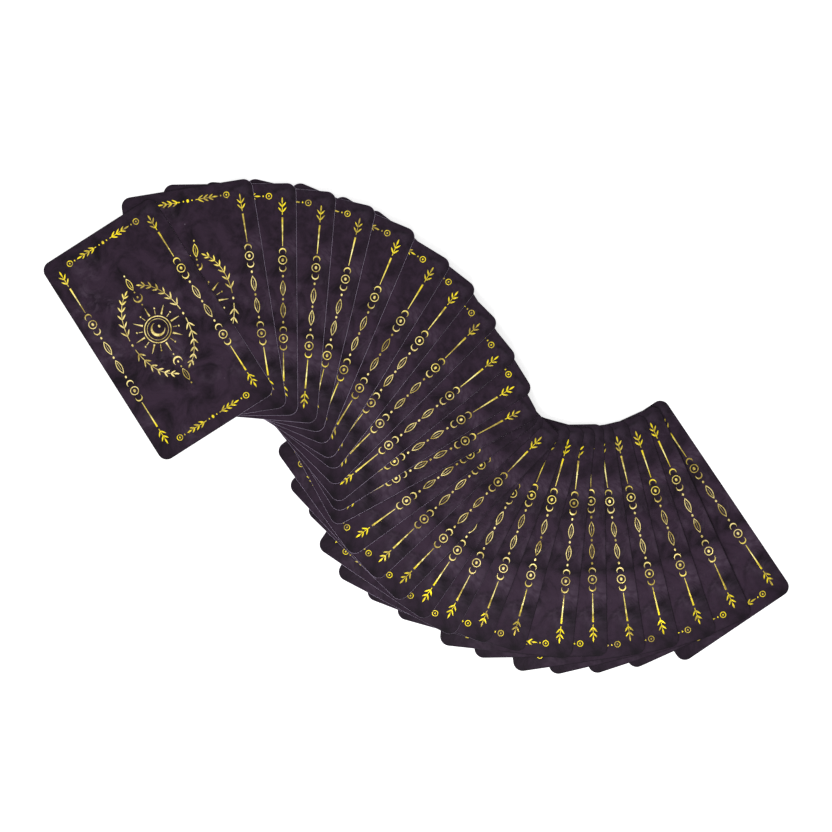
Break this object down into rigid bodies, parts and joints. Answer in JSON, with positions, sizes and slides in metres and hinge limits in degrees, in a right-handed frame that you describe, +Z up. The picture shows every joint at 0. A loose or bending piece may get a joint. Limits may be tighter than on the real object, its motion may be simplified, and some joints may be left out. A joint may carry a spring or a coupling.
{
  "type": "oracle card deck",
  "caption": "Deck of large round-cornered cards laid face down in an S-shaped ribbon spread; each card can be drawn out lengthwise.",
  "frame": {"origin": "centre of the spread's bounding box, on the table that the cards lie on", "axes": "+Z up off the table, +X along the spread from its top card to its bottom card, +Y up the picture"},
  "size_m": [0.392, 0.2602, 0.0096],
  "materials": {
    "card_stock": "satin coated card, printed dark aubergine",
    "gold_foil": "hot-stamped gold foil line art on each card's back"
  },
  "bodies": {
    "card_01": {"card_01": "card_stock"},
    "card_02": {"card_02": "card_stock"},
    "card_03": {"card_03": "card_stock"},
    "card_04": {"card_04": "card_stock"},
    "card_05": {"card_05": "card_stock"},
    "card_06": {"card_06": "card_stock"},
    "card_07": {"card_07": "card_stock"},
    "card_08": {"card_08": "card_stock"},
    "card_09": {"card_09": "card_stock"},
    "card_10": {"card_10": "card_stock"},
    "card_11": {"card_11": "card_stock"},
    "card_12": {"card_12": "card_stock"},
    "card_13": {"card_13": "card_stock"},
    "card_14": {"card_14": "card_stock"},
    "card_15": {"card_15": "card_stock"},
    "card_16": {"card_16": "card_stock"},
    "card_17": {"card_17": "card_stock"},
    "card_18": {"card_18": "card_stock"},
    "card_19": {"card_19": "card_stock"},
    "card_20": {"card_20": "card_stock"},
    "card_21": {"card_21": "card_stock"},
    "card_22": {"card_22": "card_stock"},
    "card_23": {"card_23": "card_stock"},
    "card_24": {"card_24": "card_stock"},
    "card_25": {"card_25": "card_stock"},
    "card_26": {"card_26": "card_stock"}
  },
  "joints": [
    {"name": "card_01_draw", "type": "slide", "parent": "card_26", "child": "card_01", "axis": [0.537, -0.8429, 0.0341], "range_m": [0, 0.125]},
    {"name": "card_02_draw", "type": "slide", "parent": "card_26", "child": "card_02", "axis": [0.1564, -0.9874, 0.0223], "range_m": [0, 0.125]},
    {"name": "card_03_draw", "type": "slide", "parent": "card_26", "child": "card_03", "axis": [0.0087, -0.9998, 0.0161], "range_m": [0, 0.125]},
    {"name": "card_04_draw", "type": "slide", "parent": "card_26", "child": "card_04", "axis": [-0.0871, -0.9961, 0.0108], "range_m": [0, 0.125]},
    {"name": "card_05_draw", "type": "slide", "parent": "card_26", "child": "card_05", "axis": [-0.2334, -0.9724, 0.0003], "range_m": [0, 0.125]},
    {"name": "card_06_draw", "type": "slide", "parent": "card_26", "child": "card_06", "axis": [0.3907, 0.9204, 0.0115], "range_m": [0, 0.125]},
    {"name": "card_07_draw", "type": "slide", "parent": "card_26", "child": "card_07", "axis": [0.5224, 0.8524, 0.0213], "range_m": [0, 0.125]},
    {"name": "card_08_draw", "type": "slide", "parent": "card_26", "child": "card_08", "axis": [0.6154, 0.7877, 0.0285], "range_m": [0, 0.125]},
    {"name": "card_09_draw", "type": "slide", "parent": "card_26", "child": "card_09", "axis": [0.7067, 0.7067, 0.0359], "range_m": [0, 0.125]},
    {"name": "card_10_draw", "type": "slide", "parent": "card_26", "child": "card_10", "axis": [0.7765, 0.6288, 0.0419], "range_m": [0, 0.125]},
    {"name": "card_11_draw", "type": "slide", "parent": "card_26", "child": "card_11", "axis": [0.8471, 0.5293, 0.0483], "range_m": [0, 0.125]},
    {"name": "card_12_draw", "type": "slide", "parent": "card_26", "child": "card_12", "axis": [0.8777, 0.4765, 0.0512], "range_m": [0, 0.125]},
    {"name": "card_13_draw", "type": "slide", "parent": "card_26", "child": "card_13", "axis": [0.8082, 0.5872, 0.0447], "range_m": [0, 0.125]},
    {"name": "card_14_draw", "type": "slide", "parent": "card_26", "child": "card_14", "axis": [0.7248, 0.6878, 0.0398], "range_m": [0, 0.125]},
    {"name": "card_15_draw", "type": "slide", "parent": "card_26", "child": "card_15", "axis": [0.6942, 0.7188, 0.0378], "range_m": [0, 0.125]},
    {"name": "card_16_draw", "type": "slide", "parent": "card_26", "child": "card_16", "axis": [0.5589, 0.8287, 0.0294], "range_m": [0, 0.125]},
    {"name": "card_17_draw", "type": "slide", "parent": "card_26", "child": "card_17", "axis": [0.4616, 0.8867, 0.0251], "range_m": [0, 0.125]},
    {"name": "card_18_draw", "type": "slide", "parent": "card_26", "child": "card_18", "axis": [0.3583, 0.9334, 0.0221], "range_m": [0, 0.125]},
    {"name": "card_19_draw", "type": "slide", "parent": "card_26", "child": "card_19", "axis": [0.2672, 0.9634, 0.0194], "range_m": [0, 0.125]},
    {"name": "card_20_draw", "type": "slide", "parent": "card_26", "child": "card_20", "axis": [0.1045, 0.9944, 0.0155], "range_m": [0, 0.125]},
    {"name": "card_21_draw", "type": "slide", "parent": "card_26", "child": "card_21", "axis": [-0.0175, 0.9998, 0.0123], "range_m": [0, 0.125]},
    {"name": "card_22_draw", "type": "slide", "parent": "card_26", "child": "card_22", "axis": [-0.1478, 0.989, 0.009], "range_m": [0, 0.125]},
    {"name": "card_23_draw", "type": "slide", "parent": "card_26", "child": "card_23", "axis": [-0.2334, 0.9723, 0.0069], "range_m": [0, 0.125]},
    {"name": "card_24_draw", "type": "slide", "parent": "card_26", "child": "card_24", "axis": [-0.3173, 0.9483, 0.005], "range_m": [0, 0.125]},
    {"name": "card_25_draw", "type": "slide", "parent": "card_26", "child": "card_25", "axis": [-0.4147, 0.91, 0.0029], "range_m": [0, 0.125]}
  ]
}
